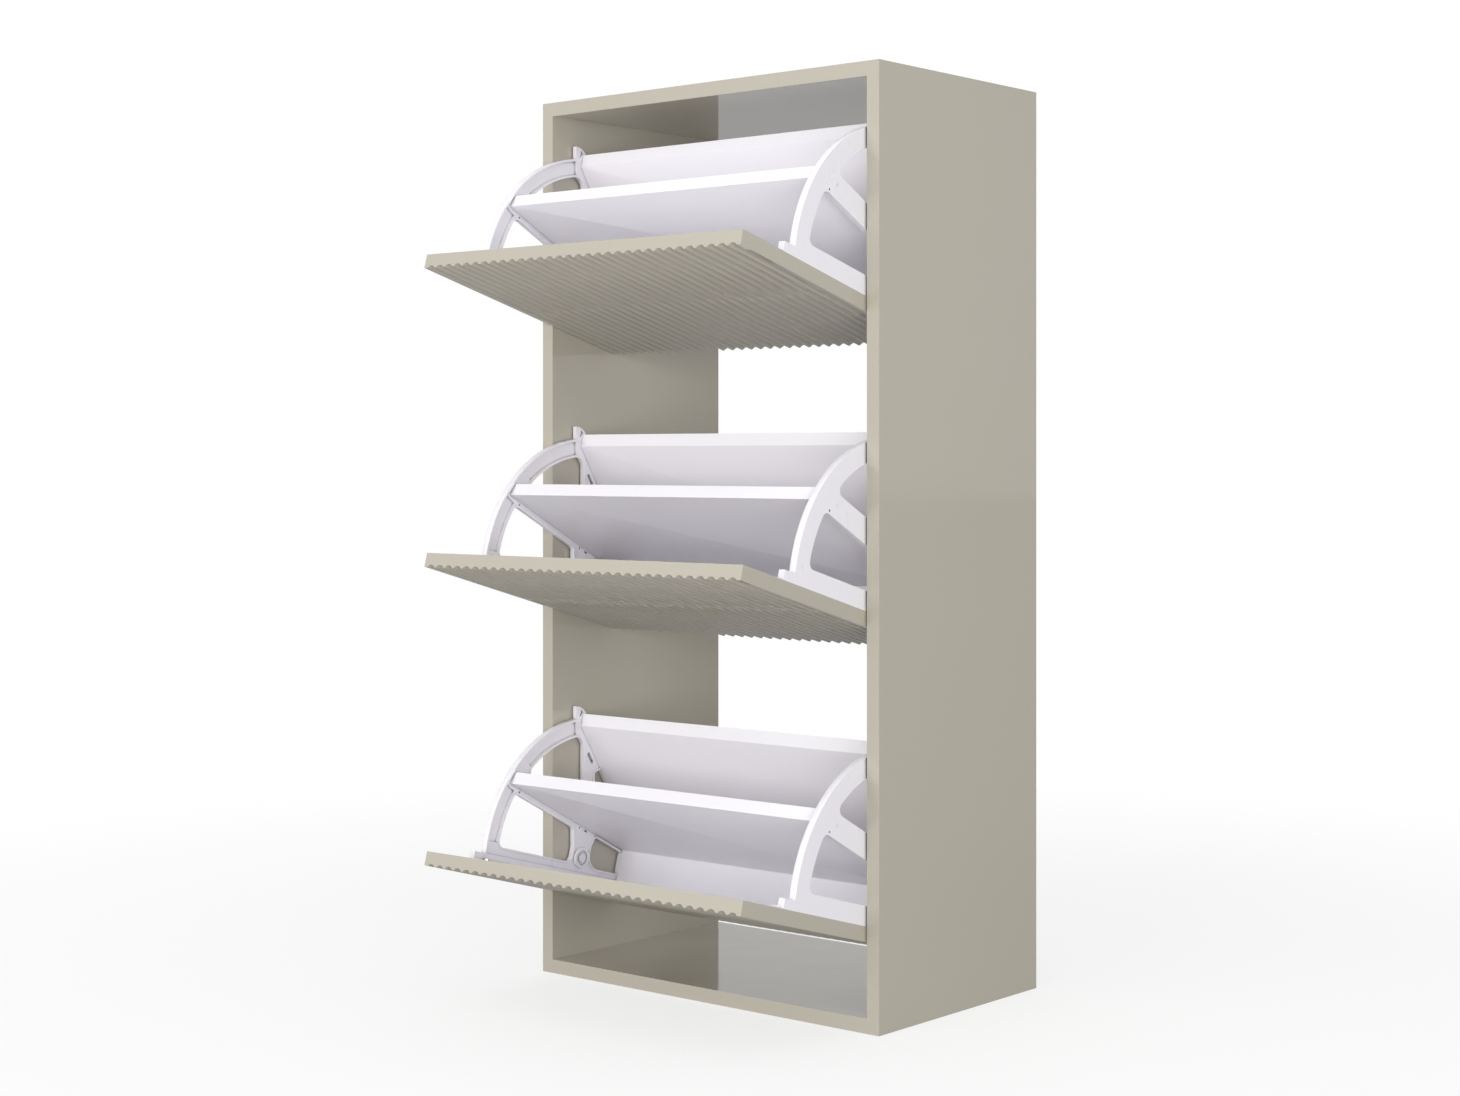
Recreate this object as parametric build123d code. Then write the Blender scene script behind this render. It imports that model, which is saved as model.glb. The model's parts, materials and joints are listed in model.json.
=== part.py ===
"""Shoe cabinet: an open-backed carcass with three tilting flaps, each carrying two shoe pockets.

Millimetres. +Z is up, the front of the cabinet faces -Y, and the origin is at the middle of the base.
The flaps are modelled open, which is the rest pose of the cabinet.

A flap is drawn in its own section: t runs back from the inner face of its front panel, and b runs up
from the front panel's bottom edge, both with the flap closed.
"""
import os
from math import asin, atan, cos, degrees, hypot, radians, sin, sqrt, tan

from build123d import *

# ---- carcass ----
width = 560.0
depth = 340.0
height = 1160.0
board = 18.0

# ---- flap fronts ----
flap_names = ("bottom", "middle", "top")
front_thickness = 18.0
side_gap = 2.0
top_gap = 3.0
grip_gap = 12.0
swing_clearance = 2.2
flute_pitch = 16.0
flute_depth = 3.0
crest_width = 3.6
crest_height = 0.5
flute_margin = 4.0

# ---- flap hinge ----
open_angle = 74.5
pivot_t = 6.5
pivot_b = 105.0
pivot_diameter = 8.0
pivot_clearance = 0.05
pivot_reach = 6.0
pivot_bore_depth = 6.5
collar_diameter = 13.0
collar_thickness = 1.5
stop_radius = 14.0
stop_diameter = 5.0
stop_clearance = 0.15
stop_reach = 3.0
stop_groove_depth = 3.4
pin_shank_diameter = 5.0
pin_shank_length = 10.0

# ---- brackets ----
plate = 6.0
rim_height = 9.0
rim_wall = 3.0
hub_t = 32.0
hub_b = 82.0
rim_radius = 190.0
spoke_width = 24.0
channel_depth = 3.0
channel_block_angle = 14.0
channel_end_gap = 4.0
foot_reach = 19.0
foot_height = 12.0
foot_block = 16.0
flange_width = 20.0
flange_thickness = 3.0
ear_front_b = 148.5
ear_back_b = 131.5
ear_height = 16.5
ear_crown = 3.0
ear_recess_depth = 2.0
ear_recess_edge = 3.5
back_lip = 5.0
boss_b = 91.0
boss_diameter = 27.0
boss_height = 10.0
boss_recess_diameter = 20.0
boss_recess_depth = 2.4
boss_post_diameter = 12.0

# ---- openings in a bracket ----
window_edge = 4.0
window_radius = 9.0
lip_width = 2.5
lip_height = 1.2
front_window_base = 23.5
front_window_rear_b = 108.0
front_window_rise = 7.0
front_window_knee_t = 45.0
front_window_edge = 8.0
rear_window_base = 20.8
rear_window_front_b = 74.5
rear_window_knee_t = 48.0
rear_window_top_b = 70.0
rear_window_radius = 20.0
upper_edge = 5.0
upper_front_foot_b = 102.0
upper_front_radius = 15.0
upper_rear_foot_b = 79.0
upper_rear_low_b = 19.0
upper_rear_cut_t = 23.5
upper_rear_cut_b = 17.5
upper_rear_radius = 4.0
slot_length = 18.0
slot_width = 5.0
slot_b = 107.0
slot_edge = 8.1
notch_length = 6.0
notch_width = 2.4
notch_b = 90.0
pin_hole_b = 103.0
pin_hole_edge = 3.5
front_hole_diameter = 3.0
front_hole_b = 228.0

# ---- boards inside a flap ----
divider_thickness = 16.0
back_thickness = 12.0
floor_thickness = 12.0
divider_angle = 12.5
divider_foot_t = 51.3
divider_rim_gap = 1.25
rear_pocket_foot = 17.2
back_top_b = 137.0
back_top_drop = 6.7

# ---- fasteners ----
dowel_diameter = 8.0
dowel_length = 30.0
dowel_in_panel = 12.0
dowel_rows = (-0.36, 0.0, 0.36)
carcass_screw_diameter = 7.0
carcass_screw_length = 50.0
carcass_screw_head = 10.0
carcass_screw_head_depth = 3.0
carcass_screw_rows = (-0.22, 0.22)
screw_diameter = 3.5
screw_head_diameter = 7.0
screw_head_height = 2.2
front_screw_length = 14.0
front_screw_low_b = 36.0
front_screw_mid_b = 150.0
front_screw_end_gap = 20.0
board_screw_length = 30.0
board_screw_sink = 2.6
divider_screw_rows = (60.0, 215.0)
back_screw_rows = (40.0, 120.0)
floor_screw_rows = (30.0, 88.0)
drive_width = 1.0
drive_length = 4.4
drive_depth = 1.2

# ---- worked out from the sizes above ----
inner_width = width - 2 * board
front_width = inner_width - 2 * side_gap
front_swing = hypot(pivot_b, pivot_t + front_thickness) - pivot_b
bottom_gap = front_swing + swing_clearance
flap_count = len(flap_names)
opening_height = height - 2 * board
front_height = (opening_height - top_gap - bottom_gap - (flap_count - 1) * grip_gap) / flap_count
flap_pitch = front_height + grip_gap
pivot_y = -depth / 2 + front_thickness + pivot_t
bracket_outer_x = front_width / 2
board_length = front_width - 2 * plate
half_travel = open_angle / 2
upright_slope = tan(radians(90 - open_angle))
foot_rim_b = hub_b + sqrt(rim_radius ** 2 - (foot_height - hub_t) ** 2)
foot_length = foot_rim_b + foot_reach
front_screw_rows = (front_screw_low_b, front_screw_mid_b, foot_length - front_screw_end_gap)
ear_root_t = hub_t + sqrt(rim_radius ** 2 - (ear_front_b - hub_b) ** 2)

# The divider's upper front corner stops just inside the rim: rise is how far its underside passes
# from the hub, square to the board, and reach is how far along the board that corner lies.
divider_sin = sin(radians(divider_angle))
divider_cos = cos(radians(divider_angle))
divider_rise = (divider_foot_t - hub_t) * divider_cos + hub_b * divider_sin
divider_corner_radius = rim_radius - rim_wall - divider_rim_gap
divider_reach = sqrt(divider_corner_radius ** 2 - (divider_rise + divider_thickness) ** 2)
divider_front_t = hub_t + divider_rise * divider_cos + divider_reach * divider_sin
divider_front_b = hub_b - divider_rise * divider_sin + divider_reach * divider_cos

# The back board runs from the rear pocket's foot up to just below the root of the ear.
divider_top_foot_t = divider_foot_t + (floor_thickness * divider_sin + divider_thickness) / divider_cos
back_foot_t = divider_top_foot_t + rear_pocket_foot
back_top_t = ear_root_t - back_top_drop
back_angle = degrees(atan((back_top_t - back_foot_t) / (back_top_b - floor_thickness)))


# ---------------------------------------------------------------- section helpers

def divider_t(b, above=0.0):
    """Height of the divider's underside behind the front at b, moved square to the board by above."""
    slope = tan(radians(divider_angle))
    return divider_front_t - slope * (divider_front_b - b) + above / cos(radians(divider_angle))


def back_t(b, behind=0.0):
    """Place of the back board's front face at b, moved square to the board by behind."""
    slope = tan(radians(back_angle))
    return back_top_t - slope * (back_top_b - b) + behind / cos(radians(back_angle))


def outline(*points):
    """A closed face from straight lines through (t, b) points."""
    return make_face(Plane.YZ * Polyline(*points, close=True))


def slab(face, x0, x1):
    """Stretch a (t, b) face from x0 to x1."""
    return Pos(x0, 0, 0) * extrude(face, x1 - x0, dir=(1, 0, 0))


def disc(t, b, diameter):
    return Plane.YZ * Pos(t, b) * Circle(diameter / 2)


def rod(x0, x1, y, z, diameter):
    """A round bar along X."""
    turned = Rot(0, 90, 0) * Cylinder(diameter / 2, abs(x1 - x0))
    return Pos((x0 + x1) / 2, y, z) * turned


def cross_drive(size=drive_length):
    """Cross-shaped cutter for a screw head whose top is at z = 0."""
    bar = Box(size, drive_width, 2 * drive_depth)
    return bar + Rot(0, 0, 90) * bar


def screw(length, sink=0.0):
    """Screw along -Z with the underside of its head at z = -sink."""
    head = Pos(0, 0, -sink + screw_head_height / 2) * Cylinder(screw_head_diameter / 2, screw_head_height)
    shank = Pos(0, 0, -sink - length / 2) * Cylinder(screw_diameter / 2, length)
    return head + shank - Pos(0, 0, screw_head_height - sink) * cross_drive()


def hinge_place(level):
    """From a flap's own section to its open place in the cabinet."""
    z = board + bottom_gap + level * flap_pitch + pivot_b
    return Pos(0, pivot_y, z) * Rot(open_angle, 0, 0) * Pos(0, -pivot_t, -pivot_b)


def pivot_z(level):
    return board + bottom_gap + level * flap_pitch + pivot_b


# ---------------------------------------------------------------- carcass

def dowel_places(span, rows):
    return [span * row for row in rows]


def side_panel(side):
    """A side stands on the bottom panel and holds the hinge pins of every flap."""
    x_mid = side * (width - board) / 2
    tall = height - board
    panel = Pos(x_mid, 0, board + tall / 2) * Box(board, depth, tall)
    for y in dowel_places(depth, dowel_rows):
        long = dowel_length - dowel_in_panel
        panel -= Pos(x_mid, y, board + long / 2) * Cylinder(dowel_diameter / 2, long)
        inner = side * inner_width / 2
        panel -= rod(inner, inner + side * dowel_in_panel, y, height - board / 2, dowel_diameter)
    for y in dowel_places(depth, carcass_screw_rows):
        long = carcass_screw_length - board + carcass_screw_head_depth
        panel -= Pos(x_mid, y, board + long / 2) * Cylinder(carcass_screw_diameter / 2, long)
    for level in range(flap_count):
        face = side * inner_width / 2
        for y, z in (pivot_point(level), stop_point(level)):
            panel -= rod(face, face + side * pin_shank_length, y, z, pin_shank_diameter)
    return panel


def top_panel():
    """The top sits between the sides."""
    z_mid = height - board / 2
    panel = Pos(0, 0, z_mid) * Box(inner_width, depth, board)
    for side in (-1, 1):
        end = side * inner_width / 2
        for y in dowel_places(depth, dowel_rows):
            panel -= rod(end, end - side * (dowel_length - dowel_in_panel), y, z_mid, dowel_diameter)
    return panel


def bottom_panel():
    """The bottom runs the full width under both sides."""
    panel = Pos(0, 0, board / 2) * Box(width, depth, board)
    for side in (-1, 1):
        x = side * (width - board) / 2
        for y in dowel_places(depth, dowel_rows):
            panel -= Pos(x, y, board - dowel_in_panel / 2) * Cylinder(dowel_diameter / 2, dowel_in_panel)
        for y in dowel_places(depth, carcass_screw_rows):
            panel -= Pos(x, y, board / 2) * Cylinder(carcass_screw_diameter / 2, board)
            panel -= Pos(x, y, carcass_screw_head_depth / 2) * Cylinder(
                carcass_screw_head / 2, carcass_screw_head_depth)
    return panel


def bottom_dowels():
    """Upright dowels between the bottom panel and the sides."""
    z = board + dowel_length / 2 - dowel_in_panel
    return [Pos(side * (width - board) / 2, y, z) * Cylinder(dowel_diameter / 2, dowel_length)
            for side in (-1, 1) for y in dowel_places(depth, dowel_rows)]


def top_dowels():
    """Level dowels between the top panel and the sides."""
    dowels = []
    for side in (-1, 1):
        outer = side * (inner_width / 2 + dowel_in_panel)
        for y in dowel_places(depth, dowel_rows):
            dowels.append(rod(outer, outer - side * dowel_length, y, height - board / 2, dowel_diameter))
    return dowels


def carcass_screws():
    """Long screws that go up through the bottom panel into the sides, with sunk heads."""
    screws = []
    for side in (-1, 1):
        for y in dowel_places(depth, carcass_screw_rows):
            head = Pos(0, 0, carcass_screw_head_depth / 2) * Cylinder(
                carcass_screw_head / 2, carcass_screw_head_depth)
            shank = Pos(0, 0, carcass_screw_head_depth + carcass_screw_length / 2) * Cylinder(
                carcass_screw_diameter / 2, carcass_screw_length)
            body = head + shank - cross_drive(drive_length + 1)
            screws.append(Pos(side * (width - board) / 2, y, 0) * body)
    return screws


# ---------------------------------------------------------------- hinge pins

def pivot_point(level):
    return pivot_y, pivot_z(level)


def stop_point(level):
    """The stop pin sits above and behind the pivot, half the travel up from level."""
    angle = radians(half_travel)
    return pivot_y + stop_radius * cos(angle), pivot_z(level) + stop_radius * sin(angle)


def pivot_pins(level):
    """Each pin has a shank in the side, a collar that spaces the flap, and a round journal."""
    y, z = pivot_point(level)
    pins = []
    for side in (-1, 1):
        wall = side * inner_width / 2
        pin = rod(wall + side * pin_shank_length, wall, y, z, pin_shank_diameter)
        pin += rod(wall, wall - side * collar_thickness, y, z, collar_diameter)
        pin += rod(wall, side * (bracket_outer_x - pivot_reach), y, z, pivot_diameter)
        pins.append(pin)
    return pins


def stop_pins(level):
    """Short pins whose ends run in a curved groove in the outer side of each bracket."""
    y, z = stop_point(level)
    return [rod(side * (inner_width / 2 + pin_shank_length), side * (bracket_outer_x - stop_reach),
                y, z, stop_diameter) for side in (-1, 1)]


# ---------------------------------------------------------------- flap pieces, in the flap's section

def front_panel():
    """Front with upright rounded flutes over its whole outer face."""
    count = int((front_width - 2 * flute_margin) / flute_pitch)
    margin = (front_width - count * flute_pitch) / 2
    half = front_width / 2
    face_t = -front_thickness
    edge = (margin + crest_width / 2 - half, face_t)
    lines = [Line((-half, 0), (-half, face_t)), Line((-half, face_t), edge)]
    for index in range(count):
        x0 = -half + margin + index * flute_pitch + crest_width / 2
        x1 = x0 + flute_pitch - crest_width
        lines.append(ThreePointArc((x0, face_t), ((x0 + x1) / 2, face_t + flute_depth), (x1, face_t)))
        if index < count - 1:
            x2 = x1 + crest_width
            lines.append(ThreePointArc((x1, face_t), ((x1 + x2) / 2, face_t - crest_height), (x2, face_t)))
    lines.append(Line(lines[-1] @ 1, (half, face_t)))
    lines.append(Line((half, face_t), (half, 0)))
    lines.append(Line((half, 0), (-half, 0)))
    panel = extrude(make_face(lines), front_height, dir=(0, 0, 1))
    for x, b in front_screw_places():
        hole = front_screw_length - flange_thickness
        panel -= Pos(x, -hole / 2, b) * Rot(90, 0, 0) * Cylinder(screw_diameter / 2, hole)
    return panel


def front_screw_places():
    """Screws through the bracket flanges: three along each side."""
    x = bracket_outer_x - flange_width + screw_head_diameter
    return [(side * x, b) for side in (-1, 1) for b in front_screw_rows]


def spoke_ring(outer, inner):
    return disc(hub_t, hub_b, 2 * outer) - disc(hub_t, hub_b, 2 * inner)


def inner_rim_t(b):
    """Height of the inside of the rim at b."""
    return hub_t + sqrt((rim_radius - spoke_width) ** 2 - (b - hub_b) ** 2)


def upright_point(t, foot):
    """A point at height t on the line through foot that stands upright when the flap is open."""
    foot_t, foot_b = foot
    return t, foot_b + (t - foot_t) * upright_slope


def upright_meets_back(foot):
    """Where the upright line through foot would meet the front face of the back board."""
    foot_t, foot_b = foot
    slope = tan(radians(back_angle))
    level_t = back_top_t - slope * (back_top_b - foot_b + foot_t * upright_slope)
    return upright_point(level_t / (1 - slope * upright_slope), foot)


def bracket_outline():
    """Quarter-wheel plate with a foot at the front, a stop ear on top and a straight rear edge."""
    rear_low_t = back_t(floor_thickness, back_thickness + back_lip)
    mid_angle = (asin((foot_height - hub_t) / rim_radius) + asin((ear_root_t - hub_t) / rim_radius)) / 2
    arc_mid = (hub_t + rim_radius * sin(mid_angle), hub_b + rim_radius * cos(mid_angle))
    foot_top = (foot_height, foot_rim_b)
    ear_root = (ear_root_t, ear_front_b)
    ear_tip = upright_point(ear_root_t + ear_height, ear_root)
    ear_back = (back_t(ear_back_b, back_thickness + back_lip), ear_back_b)
    ear_bulge = ((ear_tip[0] + ear_back[0]) / 2 + ear_crown, (ear_tip[1] + ear_back[1]) / 2)
    lines = [
        Line((0, 0), (0, foot_length)),
        Line((0, foot_length), (foot_height, foot_length)),
        Line((foot_height, foot_length), foot_top),
        ThreePointArc(foot_top, arc_mid, ear_root),
        Line(ear_root, ear_tip),
        ThreePointArc(ear_tip, ear_bulge, ear_back),
        Line(ear_back, (rear_low_t, floor_thickness)),
        Line((rear_low_t, floor_thickness), (rear_low_t, 0)),
        Line((rear_low_t, 0), (0, 0)),
    ]
    return Plane.YZ * make_face(lines)


def round_corners(face, corners):
    """Round the corner of a face nearest to each (t, b), with that corner's radius."""
    for t, b, radius in corners:
        corner = face.vertices().sort_by_distance((0, t, b))[0]
        face = fillet([corner], radius)
    return face


def front_window():
    """Opening beside the front pocket, under the divider."""
    rim = disc(hub_t, hub_b, 2 * (rim_radius - spoke_width))
    knee_b = front_window_rear_b + front_window_rise
    knee = (divider_t(knee_b, -front_window_edge), knee_b)
    face = rim & outline((front_window_base, foot_length), (front_window_base, front_window_rear_b),
                         (front_window_knee_t, front_window_rear_b), knee,
                         (divider_t(foot_length, -front_window_edge), foot_length))
    foot_b = hub_b + rim_radius - spoke_width
    return round_corners(face, (
        (front_window_base, front_window_rear_b, window_radius),
        (*knee, window_radius),
        (front_window_base, foot_b, window_radius),
        (divider_front_t, divider_front_b, window_radius)))


def rear_window():
    """Opening beside the front pocket, behind the boss; the floor board stands flush with its end."""
    low_t = divider_t(floor_thickness, -window_edge)
    top = (divider_t(rear_window_top_b, -window_edge), rear_window_top_b)
    face = outline((rear_window_base, floor_thickness), (rear_window_base, rear_window_front_b),
                   (rear_window_knee_t, rear_window_front_b), top, (low_t, floor_thickness))
    return round_corners(face, (
        (rear_window_base, rear_window_front_b, rear_window_radius),
        (rear_window_knee_t, rear_window_front_b, window_radius),
        (*top, window_edge)))


def upper_front_window():
    """Opening beside the rear pocket, with a rear edge that is upright when the flap is open."""
    rim = disc(hub_t, hub_b, 2 * (rim_radius - spoke_width))
    above = divider_thickness + upper_edge
    foot = (divider_t(upper_front_foot_b, above), upper_front_foot_b)
    top = upright_point(rim_radius + hub_t, foot)
    face = rim & outline((divider_t(divider_front_b, above), divider_front_b), foot, top,
                         (rim_radius + hub_t, divider_front_b))
    rim_end = upright_point(inner_rim_t(top[1]), foot)
    return round_corners(face, (
        (*rim_end, upper_front_radius),
        (*foot, window_radius),
        (divider_front_t + above, divider_front_b, window_radius)))


def upper_rear_window():
    """Opening beside the foot of the rear pocket; the back board stands flush with its rear edge."""
    above = divider_thickness + upper_edge
    foot = (divider_t(upper_rear_foot_b, above), upper_rear_foot_b)
    peak = upright_meets_back(foot)
    nib = upright_point(peak[0] - upper_rear_cut_t, foot)
    top_b = peak[1] - upper_rear_cut_b
    low = (divider_t(upper_rear_low_b, above), upper_rear_low_b)
    face = outline(foot, low, (back_t(upper_rear_low_b), upper_rear_low_b), (back_t(top_b), top_b), nib)
    return round_corners(face, (
        (*nib, upper_rear_radius),
        (*foot, upper_rear_radius),
        (*low, upper_rear_radius)))


def small_openings():
    """Narrow moulded slots beside the back board and under the divider."""
    slot_turn = Rot(0, 0, 90 - back_angle)
    notch_turn = Rot(0, 0, 90 - divider_angle)
    slot = Pos(back_t(slot_b, -slot_edge), slot_b) * slot_turn * SlotOverall(slot_length, slot_width)
    notch = Pos(divider_t(notch_b, -pin_hole_edge), notch_b) * notch_turn * SlotOverall(
        notch_length, notch_width)
    pin_hole = disc(divider_t(pin_hole_b, -pin_hole_edge), pin_hole_b, notch_width)
    front_hole = disc(divider_t(front_hole_b, -window_edge), front_hole_b, front_hole_diameter)
    return (Plane.YZ * slot, Plane.YZ * notch, pin_hole, front_hole)


def ear_recess():
    """Three-sided hollow in the inner face of the ear, above the end of the back board."""
    tip = upright_point(ear_root_t + ear_height, (ear_root_t, ear_front_b))
    top_t = tip[0] - ear_recess_edge / 2
    front_b = (ear_front_b + back_top_b) / 2
    return outline((top_t, front_b), (ear_root_t + ear_recess_edge, front_b),
                   (back_t(back_top_b, back_thickness) + ear_recess_edge / 2, back_top_b + 1))


def board_screw_places():
    """Centres, in the section, of the screws that go into the ends of each board."""
    return {
        "divider": [(divider_t(b, divider_thickness / 2), b) for b in divider_screw_rows],
        "back": [(back_t(b, back_thickness / 2), b) for b in back_screw_rows],
        "floor": [(t, floor_thickness / 2) for t in floor_screw_rows],
    }


def all_board_screw_places():
    return [place for places in board_screw_places().values() for place in places]


def channel_sector(from_angle, to_angle):
    """Wedge about the hub between two angles, measured from straight up towards the rear."""
    far = 2 * rim_radius
    steps = 4
    points = [(hub_t, hub_b)]
    for step in range(steps + 1):
        angle = radians(from_angle + (to_angle - from_angle) * step / steps)
        points.append((hub_t + far * sin(angle), hub_b + far * cos(angle)))
    return outline(*points)


def rim_channels():
    """Two recessed bands in the rim, left out beside the foot, the divider and the ear."""
    band = spoke_ring(rim_radius - rim_wall, rim_radius - spoke_width + rim_wall)
    foot_angle = degrees(asin((foot_height + foot_block - hub_t) / rim_radius))
    divider_angle_low = degrees(atan(
        (divider_front_t - channel_end_gap - hub_t) / (divider_front_b - hub_b)))
    divider_angle_high = divider_angle_low + channel_block_angle
    ear_angle = degrees(atan((ear_root_t - channel_end_gap - hub_t) / (ear_front_b - hub_b)))
    return (band & channel_sector(foot_angle, divider_angle_low),
            band & channel_sector(divider_angle_high, ear_angle))


def bracket(side):
    """Moulded side bracket; it is drawn for the left side and mirrored for the right."""
    outer = -bracket_outer_x
    inner = outer + plate
    clear = outer + rim_height + boss_height
    openings = (front_window(), rear_window(), upper_front_window(), upper_rear_window())
    body = slab(bracket_outline(), outer, inner)
    rim_area = outline((foot_height, foot_length), (foot_height, ear_front_b),
                       (hub_t + rim_radius, ear_front_b), (hub_t + rim_radius, foot_length))
    body += slab(spoke_ring(rim_radius, rim_radius - rim_wall) & rim_area, outer, outer + rim_height)
    for thick, reach in ((foot_height, rim_height), (flange_thickness, flange_width)):
        foot = outline((0, floor_thickness), (0, foot_length), (thick, foot_length),
                       (thick, floor_thickness))
        body += slab(foot, outer, outer + reach)
    body += slab(disc(hub_t, boss_b, boss_diameter), outer, outer + boss_height)
    boards = divider_section() + back_section() + floor_section()
    for face in openings:
        body += slab(offset(face, lip_width) - boards, outer, inner + lip_height)
    for face in rim_channels():
        body -= slab(face, inner - channel_depth, clear)
    for face in openings + small_openings():
        body -= slab(face, outer, clear)
    body -= slab(ear_recess(), inner - ear_recess_depth, clear)
    boss_top = outer + boss_height
    recess = disc(hub_t, boss_b, boss_recess_diameter) - disc(hub_t, boss_b, boss_post_diameter)
    body -= slab(recess, boss_top - boss_recess_depth, boss_top)
    body -= slab(disc(pivot_t, pivot_b, pivot_diameter + 2 * pivot_clearance), outer,
                 outer + pivot_bore_depth)
    body -= slab(stop_groove(), outer, outer + stop_groove_depth)
    for t, b in all_board_screw_places():
        body -= slab(disc(t, b, screw_diameter), outer, inner)
        body -= slab(disc(t, b, screw_head_diameter), outer, outer + board_screw_sink)
    for x, b in front_screw_places():
        if x < 0:
            hole = Pos(x, flange_thickness / 2, b) * Rot(90, 0, 0)
            body -= hole * Cylinder(screw_diameter / 2, flange_thickness)
    return body if side < 0 else mirror(body, Plane.YZ)


def stop_groove():
    """Curved groove about the pivot, as long as the travel of the flap."""
    extra = degrees(stop_clearance / stop_radius)
    reach = radians(half_travel + extra)
    ends = [(pivot_t + stop_radius * cos(a), pivot_b + stop_radius * sin(a)) for a in (-reach, reach)]
    width_now = stop_diameter + 2 * stop_clearance
    ring = disc(pivot_t, pivot_b, 2 * stop_radius + width_now) - disc(
        pivot_t, pivot_b, 2 * stop_radius - width_now)
    far = 2 * stop_radius / cos(reach)
    wedge = outline((pivot_t, pivot_b),
                    (pivot_t + far * cos(reach), pivot_b - far * sin(reach)),
                    (pivot_t + far * cos(reach), pivot_b + far * sin(reach)))
    return (ring & wedge) + disc(*ends[0], width_now) + disc(*ends[1], width_now)


def divider_section():
    """Section of the divider, with its front edge cut square."""
    top_b = divider_front_b - divider_thickness * sin(radians(divider_angle))
    return outline((divider_front_t, divider_front_b), (divider_t(top_b, divider_thickness), top_b),
                   (divider_t(floor_thickness, divider_thickness), floor_thickness),
                   (divider_t(floor_thickness), floor_thickness))


def back_section():
    """Section of the back board, with a top edge that is level when the flap is closed."""
    return outline((back_top_t, back_top_b), (back_t(back_top_b, back_thickness), back_top_b),
                   (back_t(floor_thickness, back_thickness), floor_thickness),
                   (back_t(floor_thickness), floor_thickness))


def floor_section():
    """Section of the floor board, which reaches from the front panel to behind the back board."""
    rear = back_t(floor_thickness, back_thickness)
    return outline((0, 0), (0, floor_thickness), (rear, floor_thickness), (rear, 0))


def pocket_board(section, places):
    """A board between the two brackets, bored at both ends for its screws."""
    solid = slab(section, -board_length / 2, board_length / 2)
    deep = board_screw_length - (plate - board_screw_sink)
    for side in (-1, 1):
        end = side * board_length / 2
        for t, b in places:
            solid -= rod(end, end - side * deep, t, b, screw_diameter)
    return solid


def front_screws():
    """Screws that hold the bracket flanges to the front panel."""
    return [Pos(x, flange_thickness, b) * Rot(-90, 0, 0) * screw(front_screw_length)
            for x, b in front_screw_places()]


def board_screws():
    """Sunk screws through the brackets into the board ends."""
    screws = []
    for side in (-1, 1):
        for t, b in all_board_screw_places():
            place = Pos(side * bracket_outer_x, t, b) * Rot(0, 90 * side, 0)
            screws.append(place * screw(board_screw_length, board_screw_sink))
    return screws


# ---------------------------------------------------------------- whole cabinet

def build():
    """Every node of the cabinet by name."""
    screw_places = board_screw_places()
    nodes = {
        "left_side_panel": side_panel(-1),
        "right_side_panel": side_panel(1),
        "top_panel": top_panel(),
        "bottom_panel": bottom_panel(),
        "bottom_dowels": bottom_dowels(),
        "top_dowels": top_dowels(),
        "carcass_screws": carcass_screws(),
    }
    flap_pieces = {
        "front_panel": front_panel(),
        "left_bracket": bracket(-1),
        "right_bracket": bracket(1),
        "divider_board": pocket_board(divider_section(), screw_places["divider"]),
        "back_board": pocket_board(back_section(), screw_places["back"]),
        "floor_board": pocket_board(floor_section(), screw_places["floor"]),
        "front_screws": front_screws(),
        "board_screws": board_screws(),
    }
    for level, flap in enumerate(flap_names):
        nodes[flap + "_pivot_pins"] = pivot_pins(level)
        nodes[flap + "_stop_pins"] = stop_pins(level)
        place = hinge_place(level)
        for name, piece in flap_pieces.items():
            moved = [place * one for one in piece] if isinstance(piece, list) else place * piece
            nodes[flap + "_" + name] = moved
    return nodes


def write(nodes):
    os.makedirs("parts", exist_ok=True)
    for name, shape in nodes.items():
        whole = Compound(children=shape) if isinstance(shape, list) else shape
        export_step(whole, "parts/" + name + ".step")


write(build())
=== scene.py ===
"""Shoe cabinet with three tilting flaps: finishes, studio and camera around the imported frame.

Metres. +Z is up and the front of the cabinet faces -Y. The flaps rest open.
"""
import json
import math

import bpy
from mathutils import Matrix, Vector


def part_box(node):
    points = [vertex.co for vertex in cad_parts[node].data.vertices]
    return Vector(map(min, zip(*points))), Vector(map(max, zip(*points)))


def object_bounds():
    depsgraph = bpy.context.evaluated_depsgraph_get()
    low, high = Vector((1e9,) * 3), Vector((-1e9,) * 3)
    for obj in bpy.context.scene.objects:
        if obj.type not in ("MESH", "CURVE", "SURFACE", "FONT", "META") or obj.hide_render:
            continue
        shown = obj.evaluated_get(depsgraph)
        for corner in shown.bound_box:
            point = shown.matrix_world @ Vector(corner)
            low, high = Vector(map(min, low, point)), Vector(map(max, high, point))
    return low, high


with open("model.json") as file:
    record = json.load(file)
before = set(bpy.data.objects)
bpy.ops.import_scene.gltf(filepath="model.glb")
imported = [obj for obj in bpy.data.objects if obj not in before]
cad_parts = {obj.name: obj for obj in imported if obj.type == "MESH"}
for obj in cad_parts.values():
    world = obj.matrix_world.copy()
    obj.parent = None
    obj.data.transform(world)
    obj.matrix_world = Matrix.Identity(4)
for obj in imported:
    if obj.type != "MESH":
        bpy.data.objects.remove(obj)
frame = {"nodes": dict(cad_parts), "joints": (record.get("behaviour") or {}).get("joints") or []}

cad_low, cad_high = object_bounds()

FLAPS = ("bottom", "middle", "top")
CARCASS_BOARDS = ("left_side_panel", "right_side_panel", "top_panel", "bottom_panel")
POCKET_BOARDS = ("divider_board", "back_board", "floor_board")

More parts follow.
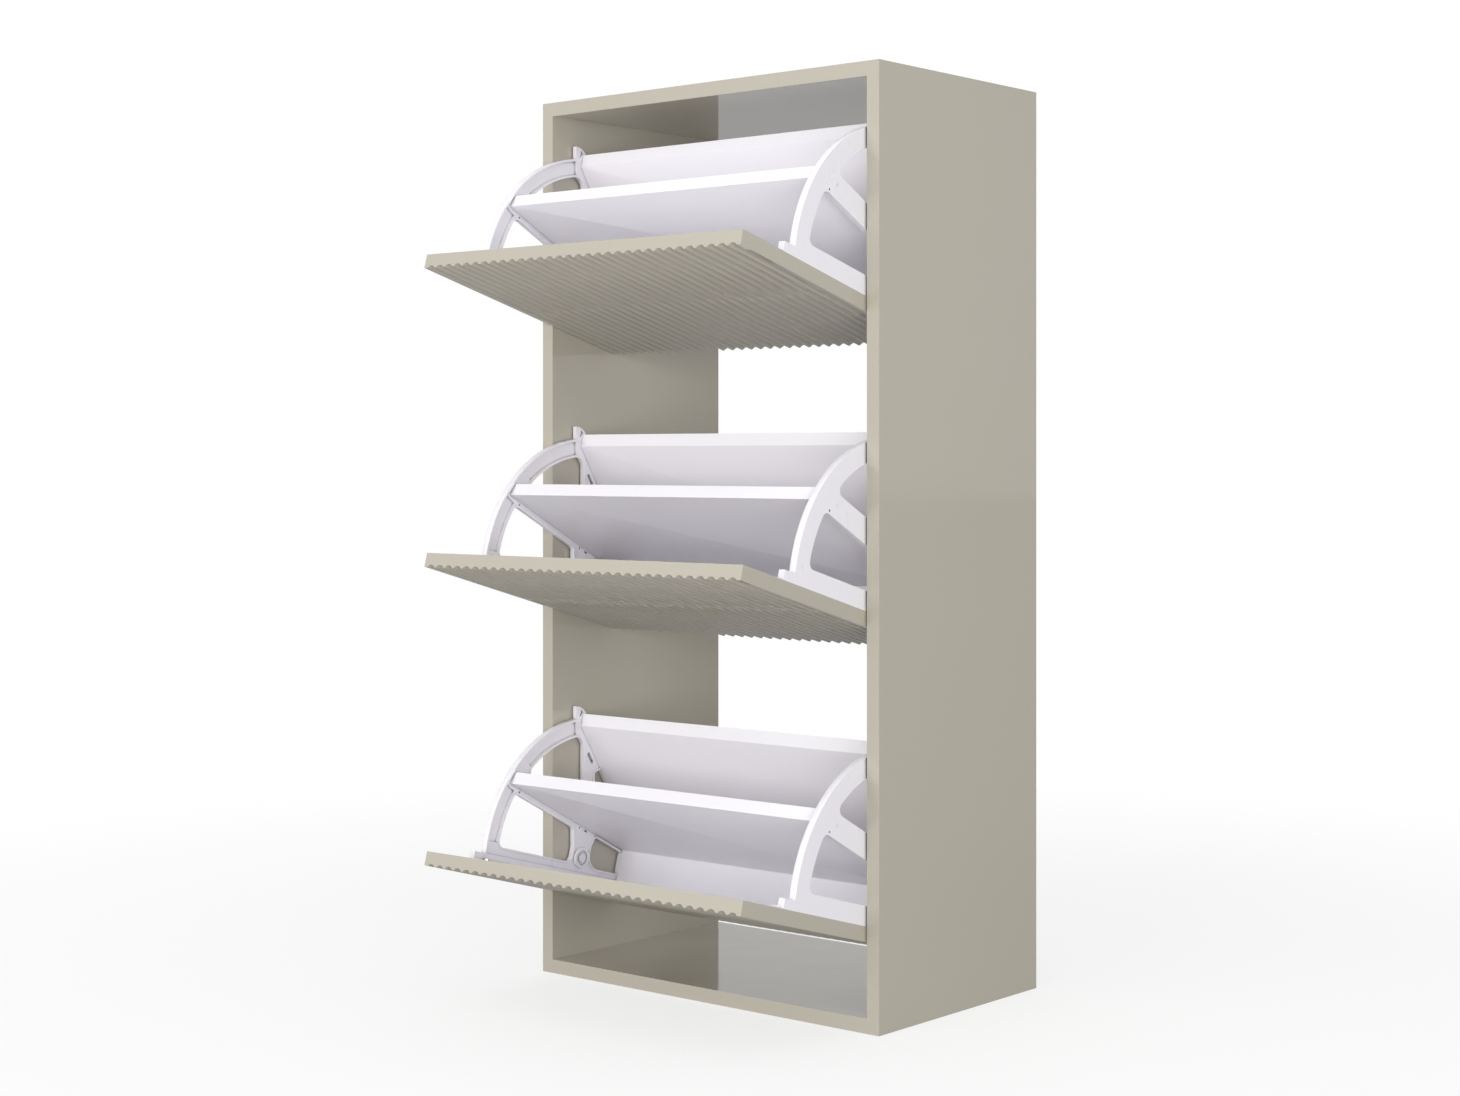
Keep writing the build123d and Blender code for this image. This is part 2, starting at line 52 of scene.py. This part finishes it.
# ---- rounding of sharp edges ----
WELD_DISTANCE = 0.00001
CARCASS_EDGE = 0.0008
FRONT_EDGE = 0.0006
BOARD_EDGE = 0.0006
MOULDED_EDGE = 0.0005
SHARP_ANGLE = math.radians(32.0)

# ---- lacquer and plastics, linear colour ----
GREIGE = (0.448, 0.418, 0.346)
GREIGE_LIGHT = (0.530, 0.498, 0.430)
WHITE_BOARD = (0.832, 0.812, 0.850)
WHITE_EDGE_BAND_AND_HIGHLIGHT = (0.865, 0.850, 0.878)
WHITE_MOULDING = (0.840, 0.820, 0.862)
WHITE_BACKING = (0.600, 0.588, 0.606)
SCREW_PAINT = (0.840, 0.830, 0.840)
CORNER_SHADE = (0.200, 0.188, 0.200)
DUST = (0.700, 0.690, 0.670)
BEECH = (0.560, 0.380, 0.210)
BEECH_DARK = (0.360, 0.210, 0.100)
ZINC = (0.640, 0.640, 0.620)
STEEL = (0.560, 0.560, 0.570)

# ---- gloss and film depth ----
LACQUER_GLOSS = {"Least": 0.05, "Most": 0.11, "Scale": 4.0}
COAT_WEIGHT = 0.6
COAT_ROUGHNESS = 0.03
LACQUER_IOR = 1.5
BACKING_ROUGHNESS = 0.35
BACK_FACING = 0.97    # how squarely a face must look into the cabinet to carry the white film
LACQUER_RELIEF = 0.00003
MELAMINE_RELIEF = 0.00004
MOULDED_RELIEF = 0.00003
PAINT_RELIEF = 0.00003
BEECH_RELIEF = 0.0001
METAL_RELIEF = 0.00002
WORN_METAL_GAIN = 1.25

# ---- studio ----
CAMERA_TURN = math.radians(40.3)
CAMERA_LENS = 58.95
SENSOR_WIDTH = 36.0
VIEW_SHIFT = -0.0613
EYE_HEIGHT = 0.6858
CORNER_DISTANCE = 2.837
CORNER_OFFSET = 0.1768
STUDIO_WHITE = (1.0, 1.0, 1.0)
BACKDROP_LEVEL = 1.0
STUDIO_LEVEL = 0.64
FLOOR_GLOW = 0.44
FLOOR_RADIUS = 40.0
FLOOR_SIDES = 96
FLOOR_DROP = 0.0002
FLOOR_ROUGHNESS = 0.6
FLOOR_SPECULAR = 0.2
FLOOR_WHITE = (0.92, 0.92, 0.92)
FLOOR_BOUNCE = (0.22, 0.22, 0.23)
FLOOR_FADE = (0.75, 2.1, 0.72, 1.0)    # near, far, share of glow near, share far
SOFTBOXES = (
    # name, place, aim, size, watts
    ("front softbox", (-0.2, -5.2, 1.4), (0.0, -0.2, 0.4), (3.8, 2.6), 132.0),
    ("side softbox", (3.6, -2.5, 0.55), (0.0, -0.1, 0.35), (2.4, 1.8), 98.0),
    ("overhead softbox", (0.2, -0.9, 4.4), (0.0, -0.3, 0.0), (3.6, 3.6), 34.0),
)


# ---------------------------------------------------------------- shader building blocks

MIX_FACTOR, MIX_FIRST, MIX_SECOND, MIX_COLOUR_OUT = 0, 6, 7, 2    # colour sockets of a Mix node


def new_group(name, inputs, outputs):
    """An empty shader group with float, colour or vector sockets: (name, kind, value)."""
    group = bpy.data.node_groups.new(name, "ShaderNodeTree")
    for socket, kind, value in inputs:
        made = group.interface.new_socket(socket, in_out="INPUT", socket_type="NodeSocket" + kind)
        made.default_value = value
    for socket, kind in outputs:
        group.interface.new_socket(socket, in_out="OUTPUT", socket_type="NodeSocket" + kind)
    return group, group.nodes.new("NodeGroupInput"), group.nodes.new("NodeGroupOutput")


def add_math(tree, operation, a, b=None, clamp=False):
    """A math node; a and b are sockets or numbers."""
    node = tree.nodes.new("ShaderNodeMath")
    node.operation = operation
    node.use_clamp = clamp
    for slot, value in zip(node.inputs, (a, b)):
        if value is None:
            continue
        if isinstance(value, (int, float)):
            slot.default_value = value
        else:
            tree.links.new(value, slot)
    return node.outputs[0]


def add_noise(tree, vector, scale, detail=3.0, rough=0.5):
    """Noise from 0 to 1; scale is a socket or a number."""
    node = tree.nodes.new("ShaderNodeTexNoise")
    node.inputs["Detail"].default_value = detail
    node.inputs["Roughness"].default_value = rough
    if isinstance(scale, (int, float)):
        node.inputs["Scale"].default_value = scale
    else:
        tree.links.new(scale, node.inputs["Scale"])
    tree.links.new(vector, node.inputs["Vector"])
    return node.outputs["Fac"]


def add_range(tree, value, low, high, to_low=0.0, to_high=1.0):
    """Smooth step of value from low to high, mapped onto to_low to to_high."""
    node = tree.nodes.new("ShaderNodeMapRange")
    node.interpolation_type = "SMOOTHSTEP"
    tree.links.new(value, node.inputs["Value"])
    for socket, number in zip(("From Min", "From Max", "To Min", "To Max"), (low, high, to_low, to_high)):
        node.inputs[socket].default_value = number
    return node.outputs[0]


def add_mix(tree, factor, first, second):
    """A colour mix; first and second are sockets or linear colours."""
    node = tree.nodes.new("ShaderNodeMix")
    node.data_type = "RGBA"
    if isinstance(factor, (int, float)):
        node.inputs[MIX_FACTOR].default_value = factor
    else:
        tree.links.new(factor, node.inputs[MIX_FACTOR])
    for slot, value in ((node.inputs[MIX_FIRST], first), (node.inputs[MIX_SECOND], second)):
        if isinstance(value, tuple):
            slot.default_value = (*value, 1.0)
        else:
            tree.links.new(value, slot)
    return node.outputs[MIX_COLOUR_OUT]


def object_place(tree):
    return tree.nodes.new("ShaderNodeTexCoord").outputs["Object"]


def stretched_place(tree, stretch):
    """Object coordinates scaled along each axis, for grain and brush marks."""
    node = tree.nodes.new("ShaderNodeMapping")
    node.inputs["Scale"].default_value = stretch
    tree.links.new(object_place(tree), node.inputs["Vector"])
    return node.outputs["Vector"]


def make_edge_group():
    """Soft mask along convex edges, broken up by noise: where a finish thins and catches light."""
    group, entry, exit_node = new_group(
        "Softened Edges",
        [("Radius", "Float", 0.0012), ("Break Up", "Float", 60.0)],
        [("Mask", "Float")])
    bevel = group.nodes.new("ShaderNodeBevel")
    bevel.samples = 6
    group.links.new(entry.outputs["Radius"], bevel.inputs["Radius"])
    geometry = group.nodes.new("ShaderNodeNewGeometry")
    dot = group.nodes.new("ShaderNodeVectorMath")
    dot.operation = "DOT_PRODUCT"
    group.links.new(bevel.outputs["Normal"], dot.inputs[0])
    group.links.new(geometry.outputs["Normal"], dot.inputs[1])
    turned = add_math(group, "SUBTRACT", 1.0, dot.outputs["Value"])
    edge = add_range(group, turned, 0.01, 0.22)
    noise = add_noise(group, object_place(group), entry.outputs["Break Up"], detail=4.0)
    patchy = add_range(group, noise, 0.32, 0.62, 0.45, 1.0)
    group.links.new(add_math(group, "MULTIPLY", edge, patchy, True), exit_node.inputs["Mask"])
    return group


def make_ripple_group():
    """Sprayed-film ripple: a broad soft wave with a fine one on top."""
    group, entry, exit_node = new_group(
        "Film Ripple",
        [("Broad Scale", "Float", 55.0), ("Fine Scale", "Float", 420.0), ("Fine Share", "Float", 0.3)],
        [("Height", "Float")])
    place = object_place(group)
    broad = add_noise(group, place, entry.outputs["Broad Scale"], detail=1.0)
    fine = add_noise(group, place, entry.outputs["Fine Scale"], detail=2.0)
    fine = add_math(group, "MULTIPLY", fine, entry.outputs["Fine Share"])
    group.links.new(add_math(group, "ADD", broad, fine), exit_node.inputs["Height"])
    return group


def make_dust_group():
    """Dust that settles on upward faces, thicker in cloudy patches."""
    group, entry, exit_node = new_group(
        "Settled Dust",
        [("Amount", "Float", 0.1), ("Cloud Scale", "Float", 9.0)],
        [("Mask", "Float")])
    geometry = group.nodes.new("ShaderNodeNewGeometry")
    split = group.nodes.new("ShaderNodeSeparateXYZ")
    group.links.new(geometry.outputs["Normal"], split.inputs[0])
    upward = add_range(group, split.outputs["Z"], 0.25, 0.95)
    cloud = add_noise(group, object_place(group), entry.outputs["Cloud Scale"], detail=6.0, rough=0.6)
    cloud = add_range(group, cloud, 0.3, 0.75)
    dusty = add_math(group, "MULTIPLY", upward, cloud)
    group.links.new(add_math(group, "MULTIPLY", dusty, entry.outputs["Amount"], True),
                    exit_node.inputs["Mask"])
    return group


def make_handling_group():
    """Faint wiping haze that changes how sharply a surface reflects."""
    group, entry, exit_node = new_group(
        "Wiping Haze",
        [("Least", "Float", 0.05), ("Most", "Float", 0.12), ("Scale", "Float", 5.0)],
        [("Roughness", "Float")])
    place = group.nodes.new("ShaderNodeMapping")
    place.inputs["Scale"].default_value = (1.0, 1.0, 0.35)
    group.links.new(object_place(group), place.inputs["Vector"])
    haze = add_noise(group, place.outputs["Vector"], entry.outputs["Scale"], detail=5.0, rough=0.55)
    haze = add_range(group, haze, 0.3, 0.7)
    span = add_math(group, "SUBTRACT", entry.outputs["Most"], entry.outputs["Least"])
    scaled = add_math(group, "MULTIPLY", haze, span)
    group.links.new(add_math(group, "ADD", scaled, entry.outputs["Least"]), exit_node.inputs["Roughness"])
    return group


def make_crevice_group():
    """Mask of painted shade: strongest in tight corners, recesses and slots, where shadow gathers."""
    group, entry, exit_node = new_group(
        "Painted Corner Shade",
        [("Reach", "Float", 0.004), ("Amount", "Float", 0.5)],
        [("Mask", "Float")])
    openness = group.nodes.new("ShaderNodeAmbientOcclusion")
    openness.samples = 8
    group.links.new(entry.outputs["Reach"], openness.inputs["Distance"])
    closed = add_math(group, "SUBTRACT", 1.0, openness.outputs["AO"])
    closed = add_range(group, closed, 0.15, 0.75)
    patches = add_noise(group, object_place(group), scale=45.0)
    patches = add_range(group, patches, 0.25, 0.7, 0.7, 1.0)
    shaded = add_math(group, "MULTIPLY", closed, patches)
    group.links.new(add_math(group, "MULTIPLY", shaded, entry.outputs["Amount"], True),
                    exit_node.inputs["Mask"])
    return group


EDGES = make_edge_group()
RIPPLE = make_ripple_group()
DUSTING = make_dust_group()
HAZE = make_handling_group()
SHADE_IN_CORNERS = make_crevice_group()


def place_group(tree, group, **values):
    """A shared effect with this material's own values; underscores stand for spaces."""
    node = tree.nodes.new("ShaderNodeGroup")
    node.node_tree = group
    for socket, value in values.items():
        node.inputs[socket.replace("_", " ")].default_value = value
    return node.outputs[0]


def new_material(name):
    material = bpy.data.materials.new(name)
    material.use_nodes = True
    tree = material.node_tree
    return material, tree, tree.nodes["Principled BSDF"]


def add_bump(tree, shader, height, distance):
    """Relief of the given depth in metres."""
    bump = tree.nodes.new("ShaderNodeBump")
    bump.inputs["Strength"].default_value = 1.0
    bump.inputs["Distance"].default_value = distance
    tree.links.new(height, bump.inputs["Height"])
    tree.links.new(bump.outputs["Normal"], shader.inputs["Normal"])


# ---------------------------------------------------------------- finishes

def lacquer_colour(tree):
    """Greige paint with a soft drift of tone, lighter along the edges (thinner paint there, plus a painted
    highlight where the edge catches light) and a little dusty on top.
    """
    tone = add_noise(tree, object_place(tree), scale=2.6)
    paint = add_mix(tree, add_range(tree, tone, 0.3, 0.7, 0.0, 0.10), GREIGE, GREIGE_LIGHT)
    edge = place_group(tree, EDGES, Radius=0.0009, Break_Up=80.0)
    # Lighter edges: thinner paint and a painted highlight along the convex edges.
    paint = add_mix(tree, add_math(tree, "MULTIPLY", edge, 0.5), paint, GREIGE_LIGHT)
    dust = place_group(tree, DUSTING, Amount=0.10, Cloud_Scale=11.0)
    return add_mix(tree, dust, paint, DUST)


def add_gloss_coat(tree, shader):
    """The sprayed clear coat and its faint ripple."""
    shader.inputs["Coat Weight"].default_value = COAT_WEIGHT
    shader.inputs["Coat Roughness"].default_value = COAT_ROUGHNESS
    shader.inputs["IOR"].default_value = LACQUER_IOR
    add_bump(tree, shader, place_group(tree, RIPPLE, Broad_Scale=70.0, Fine_Scale=520.0, Fine_Share=0.25),
             LACQUER_RELIEF)


def make_gloss_lacquer():
    """Greige high-gloss lacquer on the carcass boards."""
    material, tree, shader = new_material("Greige Gloss Lacquer")
    tree.links.new(lacquer_colour(tree), shader.inputs["Base Color"])
    tree.links.new(place_group(tree, HAZE, **LACQUER_GLOSS), shader.inputs["Roughness"])
    add_gloss_coat(tree, shader)
    return material


def make_backed_front(travel):
    """Lacquered fluted front with a plain white film on the face that looks into the cabinet.

    The fronts are drawn open, turned by the whole travel of their hinge.
    """
    material, tree, shader = new_material("Greige Gloss Front With White Back")
    facing = tree.nodes.new("ShaderNodeVectorMath")
    facing.operation = "DOT_PRODUCT"
    tree.links.new(tree.nodes.new("ShaderNodeTexCoord").outputs["Normal"], facing.inputs[0])
    facing.inputs[1].default_value = (0.0, math.cos(travel), math.sin(travel))
    back = add_math(tree, "GREATER_THAN", facing.outputs["Value"], BACK_FACING)
    tone = add_noise(tree, object_place(tree), scale=3.4, detail=4.0)
    film = add_mix(tree, tone, WHITE_BACKING, WHITE_MOULDING)
    tree.links.new(add_mix(tree, back, lacquer_colour(tree), film), shader.inputs["Base Color"])
    gloss = place_group(tree, HAZE, **LACQUER_GLOSS)
    duller = add_math(tree, "MULTIPLY", back, BACKING_ROUGHNESS)
    tree.links.new(add_math(tree, "MAXIMUM", gloss, duller), shader.inputs["Roughness"])
    add_gloss_coat(tree, shader)
    return material


def make_white_board():
    """White melamine board: pearl-grained film, slightly brighter edge band."""
    material, tree, shader = new_material("White Melamine Board")
    edge = place_group(tree, EDGES, Radius=0.0010, Break_Up=120.0)
    tone = add_noise(tree, object_place(tree), scale=3.4, detail=4.0)
    film = add_mix(tree, add_range(tree, tone, 0.3, 0.7, 0.0, 0.35), WHITE_BOARD, WHITE_MOULDING)
    film = add_mix(tree, edge, film, WHITE_EDGE_BAND_AND_HIGHLIGHT)
    dust = place_group(tree, DUSTING, Amount=0.08, Cloud_Scale=14.0)
    film = add_mix(tree, dust, film, DUST)
    # Painted shade: corners, slots and joints darkened towards CORNER_SHADE by the occlusion mask.
    film = add_mix(tree, place_group(tree, SHADE_IN_CORNERS, Reach=0.003, Amount=0.30), film, CORNER_SHADE)
    tree.links.new(film, shader.inputs["Base Color"])
    tree.links.new(place_group(tree, HAZE, Least=0.30, Most=0.40, Scale=8.0), shader.inputs["Roughness"])
    add_bump(tree, shader, place_group(tree, RIPPLE, Broad_Scale=380.0, Fine_Scale=1400.0, Fine_Share=0.7),
             MELAMINE_RELIEF)
    return material


def make_white_moulding():
    """White injection moulding: satin skin with soft flow marks and rounded edges."""
    material, tree, shader = new_material("White Satin Moulding")
    flow = add_noise(tree, stretched_place(tree, (1.0, 0.5, 1.6)), scale=7.0, detail=2.0)
    skin = add_mix(tree, add_range(tree, flow, 0.35, 0.65, 0.0, 0.5), WHITE_MOULDING, WHITE_BOARD)
    edge = place_group(tree, EDGES, Radius=0.0008, Break_Up=150.0)
    # Painted highlight: the rounded edges of the moulding painted lighter where they catch light.
    skin = add_mix(tree, add_math(tree, "MULTIPLY", edge, 0.7), skin, WHITE_EDGE_BAND_AND_HIGHLIGHT)
    # Painted shade: recess rims, bosses and joints darkened towards CORNER_SHADE by the occlusion mask.
    skin = add_mix(tree, place_group(tree, SHADE_IN_CORNERS, Reach=0.006, Amount=0.95), skin, CORNER_SHADE)
    tree.links.new(skin, shader.inputs["Base Color"])
    tree.links.new(place_group(tree, HAZE, Least=0.26, Most=0.36, Scale=16.0), shader.inputs["Roughness"])
    add_bump(tree, shader, place_group(tree, RIPPLE, Broad_Scale=900.0, Fine_Scale=2600.0, Fine_Share=0.5),
             MOULDED_RELIEF)
    return material


def make_painted_screw():
    """White-coated screw head whose paint is worn to metal along the rim and the drive."""
    material, tree, shader = new_material("White Coated Screw")
    worn = place_group(tree, EDGES, Radius=0.0003, Break_Up=500.0)
    paint = add_mix(tree, add_range(tree, worn, 0.55, 0.95), SCREW_PAINT, ZINC)
    tree.links.new(paint, shader.inputs["Base Color"])
    tree.links.new(add_range(tree, worn, 0.55, 0.95), shader.inputs["Metallic"])
    tree.links.new(place_group(tree, HAZE, Least=0.22, Most=0.38, Scale=120.0), shader.inputs["Roughness"])
    add_bump(tree, shader, place_group(tree, RIPPLE, Broad_Scale=700.0, Fine_Scale=2400.0, Fine_Share=0.4),
             PAINT_RELIEF)
    return material


def make_beech():
    """Raw beech dowel with long grain and short dark flecks."""
    material, tree, shader = new_material("Raw Beech Dowel")
    grain = add_noise(tree, stretched_place(tree, (60.0, 60.0, 6.0)), scale=14.0, detail=5.0)
    wood = add_mix(tree, add_range(tree, grain, 0.35, 0.7), BEECH, BEECH_DARK)
    tree.links.new(wood, shader.inputs["Base Color"])
    tree.links.new(place_group(tree, HAZE, Least=0.55, Most=0.75, Scale=40.0), shader.inputs["Roughness"])
    add_bump(tree, shader, grain, BEECH_RELIEF)
    return material


def make_metal(name, colour, least, most, turned):
    """Plated or turned steel: fine marks across the axis and soft wear."""
    material, tree, shader = new_material(name)
    marks = add_noise(tree, stretched_place(tree, turned), scale=30.0)
    edge = place_group(tree, EDGES, Radius=0.0004, Break_Up=300.0)
    bright = tuple(min(1.0, channel * WORN_METAL_GAIN) for channel in colour)
    metal = add_mix(tree, add_range(tree, marks, 0.3, 0.7, 0.0, 0.4), colour, bright)
    metal = add_mix(tree, edge, metal, bright)
    tree.links.new(metal, shader.inputs["Base Color"])
    shader.inputs["Metallic"].default_value = 1.0
    tree.links.new(place_group(tree, HAZE, Least=least, Most=most, Scale=90.0), shader.inputs["Roughness"])
    add_bump(tree, shader, marks, METAL_RELIEF)
    return material


# ---------------------------------------------------------------- dressing the frame

def soften(node, width, segments):
    """Join a node's split faces and round its sharp edges; the bevel hardens the normals beside them."""
    obj = frame["nodes"][node]
    weld = obj.modifiers.new("join faces", "WELD")
    weld.merge_threshold = WELD_DISTANCE
    bevel = obj.modifiers.new("rounded edges", "BEVEL")
    bevel.width = width
    bevel.segments = segments
    bevel.limit_method = "ANGLE"
    bevel.angle_limit = SHARP_ANGLE
    bevel.harden_normals = True
    bevel.use_clamp_overlap = True


def finish_node(node, material):
    """Give a CAD node its finish."""
    obj = frame["nodes"][node]
    obj.data.materials.clear()
    obj.data.materials.append(material)


def dress_carcass(lacquer, beech, zinc, steel):
    for node in CARCASS_BOARDS:
        finish_node(node, lacquer)
        soften(node, CARCASS_EDGE, segments=3)
    for node in ("bottom_dowels", "top_dowels"):
        finish_node(node, beech)
    finish_node("carcass_screws", zinc)
    for flap in FLAPS:
        finish_node(flap + "_pivot_pins", steel)
        finish_node(flap + "_stop_pins", steel)


def dress_flap(flap, front, board, moulding, zinc, white_screws):
    finish_node(flap + "_front_panel", front)
    soften(flap + "_front_panel", FRONT_EDGE, segments=2)
    for side in ("left", "right"):
        finish_node(flap + "_" + side + "_bracket", moulding)
        soften(flap + "_" + side + "_bracket", MOULDED_EDGE, segments=2)
    for piece in POCKET_BOARDS:
        finish_node(flap + "_" + piece, board)
        soften(flap + "_" + piece, BOARD_EDGE, segments=3)
    finish_node(flap + "_front_screws", zinc)
    finish_node(flap + "_board_screws", white_screws)


# ---------------------------------------------------------------- studio

def make_floor():
    """Pale floor that fades into the white studio far from the cabinet."""
    bpy.ops.mesh.primitive_circle_add(vertices=FLOOR_SIDES, radius=FLOOR_RADIUS, fill_type="NGON")
    floor = bpy.context.object
    floor.name = "studio_floor"
    floor.location = (0.0, 0.0, cad_low.z - FLOOR_DROP)
    material, tree, shader = new_material("Pale Studio Floor")
    path = tree.nodes.new("ShaderNodeLightPath")
    tree.links.new(add_mix(tree, path.outputs["Is Camera Ray"], FLOOR_BOUNCE, FLOOR_WHITE),
                   shader.inputs["Base Color"])
    shader.inputs["Roughness"].default_value = FLOOR_ROUGHNESS
    shader.inputs["Specular IOR Level"].default_value = FLOOR_SPECULAR
    far = tree.nodes.new("ShaderNodeEmission")
    far.inputs["Color"].default_value = (*STUDIO_WHITE, 1.0)
    seen = add_math(tree, "MULTIPLY", path.outputs["Is Camera Ray"], BACKDROP_LEVEL - FLOOR_GLOW)
    tree.links.new(add_math(tree, "ADD", seen, FLOOR_GLOW), far.inputs["Strength"])
    length = tree.nodes.new("ShaderNodeVectorMath")
    length.operation = "LENGTH"
    tree.links.new(object_place(tree), length.inputs[0])
    fade = add_range(tree, length.outputs["Value"], *FLOOR_FADE)
    blend = tree.nodes.new("ShaderNodeMixShader")
    tree.links.new(fade, blend.inputs[0])
    tree.links.new(shader.outputs[0], blend.inputs[1])
    tree.links.new(far.outputs[0], blend.inputs[2])
    tree.links.new(blend.outputs[0], tree.nodes["Material Output"].inputs["Surface"])
    floor.data.materials.append(material)


def make_studio():
    """White surroundings that look brighter to the camera than they light the cabinet."""
    world = bpy.data.worlds.new("white studio")
    bpy.context.scene.world = world
    world.use_nodes = True
    tree = world.node_tree
    soft = tree.nodes["Background"]
    soft.inputs["Color"].default_value = (*STUDIO_WHITE, 1.0)
    soft.inputs["Strength"].default_value = STUDIO_LEVEL
    seen = tree.nodes.new("ShaderNodeBackground")
    seen.inputs["Color"].default_value = (*STUDIO_WHITE, 1.0)
    seen.inputs["Strength"].default_value = BACKDROP_LEVEL
    path = tree.nodes.new("ShaderNodeLightPath")
    blend = tree.nodes.new("ShaderNodeMixShader")
    tree.links.new(path.outputs["Is Camera Ray"], blend.inputs[0])
    tree.links.new(soft.outputs[0], blend.inputs[1])
    tree.links.new(seen.outputs[0], blend.inputs[2])
    tree.links.new(blend.outputs[0], tree.nodes["World Output"].inputs["Surface"])


def add_softbox(name, place, aim, size, watts):
    light = bpy.data.lights.new(name, "AREA")
    light.shape = "RECTANGLE"
    light.size, light.size_y = size
    light.energy = watts
    box = bpy.data.objects.new(name, light)
    bpy.context.scene.collection.objects.link(box)
    box.location = place
    box.rotation_euler = (Vector(aim) - Vector(place)).to_track_quat("-Z", "Y").to_euler()


def make_camera():
    """Level camera in front and to the right, with the picture shifted down a little."""
    data = bpy.data.cameras.new("camera")
    data.sensor_fit = "HORIZONTAL"
    data.sensor_width = SENSOR_WIDTH
    data.lens = CAMERA_LENS
    data.shift_y = VIEW_SHIFT
    camera = bpy.data.objects.new("camera", data)
    bpy.context.scene.collection.objects.link(camera)
    right = Vector((math.cos(CAMERA_TURN), math.sin(CAMERA_TURN), 0.0))
    ahead = Vector((-math.sin(CAMERA_TURN), math.cos(CAMERA_TURN), 0.0))
    side_low, side_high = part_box("right_side_panel")
    corner = Vector((side_high.x, side_low.y, 0.0))
    camera.location = corner - ahead * CORNER_DISTANCE - right * CORNER_OFFSET + Vector((0, 0, EYE_HEIGHT))
    camera.rotation_euler = (math.pi / 2, 0.0, CAMERA_TURN)
    bpy.context.scene.camera = camera


# ---------------------------------------------------------------- build

flap_travel = math.radians(frame["joints"][0]["range_deg"][1])
gloss_lacquer = make_gloss_lacquer()
backed_front = make_backed_front(flap_travel)
white_board = make_white_board()
white_moulding = make_white_moulding()
beech = make_beech()
zinc_plate = make_metal("Bright Zinc Plate", ZINC, 0.28, 0.42, (1.0, 1.0, 12.0))
painted_screw = make_painted_screw()
turned_steel = make_metal("Turned Steel", STEEL, 0.20, 0.32, (14.0, 1.0, 1.0))

dress_carcass(gloss_lacquer, beech, zinc_plate, turned_steel)
for flap in FLAPS:
    dress_flap(flap, backed_front, white_board, white_moulding, zinc_plate, painted_screw)

make_studio()
make_floor()
for softbox in SOFTBOXES:
    add_softbox(*softbox)
make_camera()

bpy.context.scene.view_settings.view_transform = "Standard"
